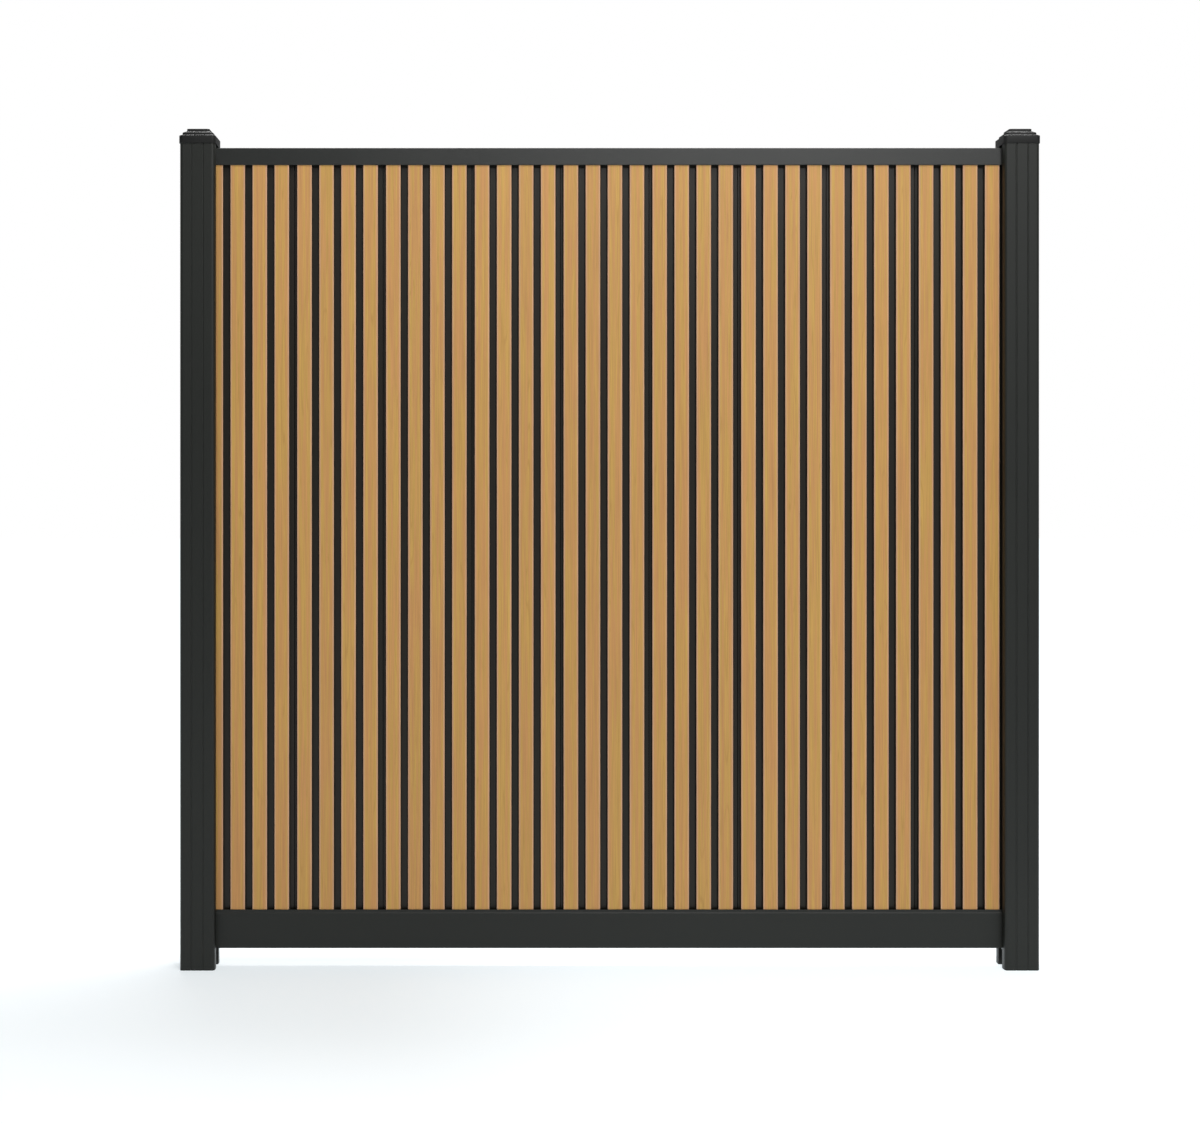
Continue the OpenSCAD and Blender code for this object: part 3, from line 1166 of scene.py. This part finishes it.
@dataclass
class Hardware:
    """Brackets and screws that join rails and posts."""

    finish: bpy.types.Material
    bracket: AngleBracket = field(default_factory=AngleBracket)
    bracket_head_height: float = 2.6 * MM
    bracket_pitch: float = 1.8 * MM
    rail_head_height: float = 1.9 * MM
    rail_pitch: float = 1.5 * MM

    def build(self) -> None:
        """Models brackets and screws once and copies them to the other side."""
        left = self.bracket.model("left_rail_bracket", "left_bracket_screws")
        right = left.copy("right_rail_bracket_bent")
        right.move(Matrix.Scale(-1, 4, (1, 0, 0)))
        mount(left, "left_rail_bracket", self.finish)
        mount(right, "right_rail_bracket", self.finish)
        self._add_bracket_screws()
        self._add_rail_screws()

    def _add_bracket_screws(self) -> None:
        """Puts two screws through the upright leg of each bracket."""
        low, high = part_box("left_bracket_screws")
        seat = high.x - self.bracket_head_height
        screw = PanHeadScrew((high.y - low.y) / 2, self.bracket_head_height, seat - low.x, self.bracket_pitch)
        lower = screw.model("left_bracket_screw_pair")
        upper = lower.copy("upper_screw")
        for one, (y, z) in zip((lower, upper), screw_axes("left_bracket_screws")):
            one.move(Matrix.Translation((seat, y, z)) @ Matrix.Rotation(math.pi / 2, 4, "Y"))
        lower.join([upper])
        right = lower.copy("right_bracket_screw_pair")
        right.move(Matrix.Rotation(math.pi, 4, "Z"))
        mount(lower, "left_bracket_screws", self.finish)
        mount(right, "right_bracket_screws", self.finish)

    def _add_rail_screws(self) -> None:
        """Puts one long screw through the rear of each post into the top rail."""
        low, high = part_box("left_top_rail_screw")
        seat = high.y - self.rail_head_height
        screw = PanHeadScrew((high.x - low.x) / 2, self.rail_head_height, seat - low.y, self.rail_pitch)
        left = screw.model("left_top_rail_screw_threaded")
        middle = (low + high) / 2
        left.move(Matrix.Translation((middle.x, seat, middle.z)) @ Matrix.Rotation(-math.pi / 2, 4, "X"))
        right = left.copy("right_top_rail_screw_threaded")
        right.move(Matrix.Translation((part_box("right_top_rail_screw")[0].x - low.x, 0, 0)))
        mount(left, "left_top_rail_screw", self.finish)
        mount(right, "right_top_rail_screw", self.finish)


@dataclass(frozen=True)
class Softbox:
    """One soft studio light."""

    name: str
    place: Point
    power: float
    aim: Point = (0.0, 0.0, 1.3)
    width: float = 1.0
    height: float = 0.8

    def build(self) -> None:
        """Adds the light and turns it towards its aim."""
        data = bpy.data.lights.new(self.name, "AREA")
        data.shape = "RECTANGLE"
        data.size, data.size_y = self.width, self.height
        data.energy = self.power
        light = bpy.data.objects.new(self.name, data)
        light.location = self.place
        towards = Vector(self.aim) - Vector(self.place)
        light.rotation_euler = towards.to_track_quat("-Z", "Y").to_euler()
        bpy.context.scene.collection.objects.link(light)


@dataclass(frozen=True)
class Surroundings:
    """Faint light from above, behind and the sides, and none from in front, before a white backdrop."""

    backdrop: float = 1.0
    sides: float = 0.15
    above: float = 0.4
    behind: float = 0.25
    side_edge: Range = (0.62, 0.95)
    above_edge: Range = (0.45, 0.95)
    behind_edge: Range = (0, 0.5)

    def build(self) -> None:
        """Fills the world's node tree: plain white to the camera, the light pattern to everything else."""
        world = bpy.data.worlds.new("studio")
        bpy.context.scene.world = world
        world.use_nodes = True
        s = Shader(world.node_tree)
        direction = s.node("SeparateXYZ", inputs={"Vector": s.node("TexCoord").outputs["Generated"]})
        x, y, z = (Value(s, socket) for socket in direction.outputs)
        glow = y.over(*self.behind_edge) * self.behind
        glow = glow + x.size().over(*self.side_edge) * self.sides
        glow = glow + z.over(*self.above_edge) * self.above
        lighting = s.node("Background", inputs={"Color": (1, 1, 1, 1), "Strength": glow})
        backdrop = s.node("Background", inputs={"Color": (1, 1, 1, 1), "Strength": self.backdrop})
        seen = s.node("LightPath").outputs["Is Camera Ray"]
        both = s.node("MixShader", inputs={0: seen, 1: lighting.outputs[0], 2: backdrop.outputs[0]})
        s.node("OutputWorld", inputs={"Surface": both.outputs[0]})


@dataclass
class Studio:
    """Floor, surroundings, lights and camera."""

    floor_size: float = 60.0
    surroundings: Surroundings = Surroundings()
    lights: tuple[Softbox, ...] = (
        Softbox("key_high", (2.4, -5.6, 5.2), power=60),
        Softbox("key_low", (1.6, -5.6, 4.0), power=65),
        Softbox("fill", (0.0, -5.6, 4.0), power=34),
        Softbox("overhead", (0.2, -1.6, 4.2), power=52, aim=(0.0, 0.0, 1.2), width=3.0, height=1.2),
        Softbox("rim", (0.15, 1.2, 4.6), power=140, aim=(0.0, 0.0, 1.87), width=3.4, height=1.0),
    )
    image_size: tuple[int, int] = (1200, 1124)
    vanishing_point: tuple[float, float] = (497.5, 480)
    focal_pixels: float = 1833
    sensor: float = 36.0
    camera_place: Point = (-0.2511, -4.139, 1.0975)

    def build(self) -> None:
        """Sets up everything round the panel."""
        self._add_floor()
        self.surroundings.build()
        for light in self.lights:
            light.build()
        self._add_camera()
        bpy.context.scene.view_settings.view_transform = "Standard"

    def _add_floor(self) -> None:
        """Adds the floor at the feet of the posts."""
        bpy.ops.object.select_all(action="DESELECT")
        bpy.ops.mesh.primitive_plane_add(size=self.floor_size, location=(0, 0, 0))
        floor = bpy.context.object
        floor.name = "floor"
        floor.data.materials.append(FloorPaint().build())

    def _add_camera(self) -> None:
        """Adds a level camera square to the panel, with its view shifted to the photograph's framing."""
        width, height = self.image_size
        data = bpy.data.cameras.new("camera")
        data.sensor_width = self.sensor
        data.lens = self.focal_pixels * self.sensor / width
        data.shift_x = (width / 2 - self.vanishing_point[0]) / width
        data.shift_y = (self.vanishing_point[1] - height / 2) / width
        camera = bpy.data.objects.new("camera", data)
        camera.location = self.camera_place
        camera.rotation_euler = (math.pi / 2, 0, 0)
        bpy.context.scene.collection.objects.link(camera)
        bpy.context.scene.camera = camera


def main() -> None:
    """Builds the studio, dresses the panel and reports each piece."""
    logging.basicConfig(level=logging.INFO, format="%(name)s: %(message)s")
    Studio().build()
    Boards().build()
    Metalwork().build()
    PostCaps(MouldedPlastic().build()).build()
    Hardware(ZincPlate().build()).build()


if __name__ == "__main__":
    main()
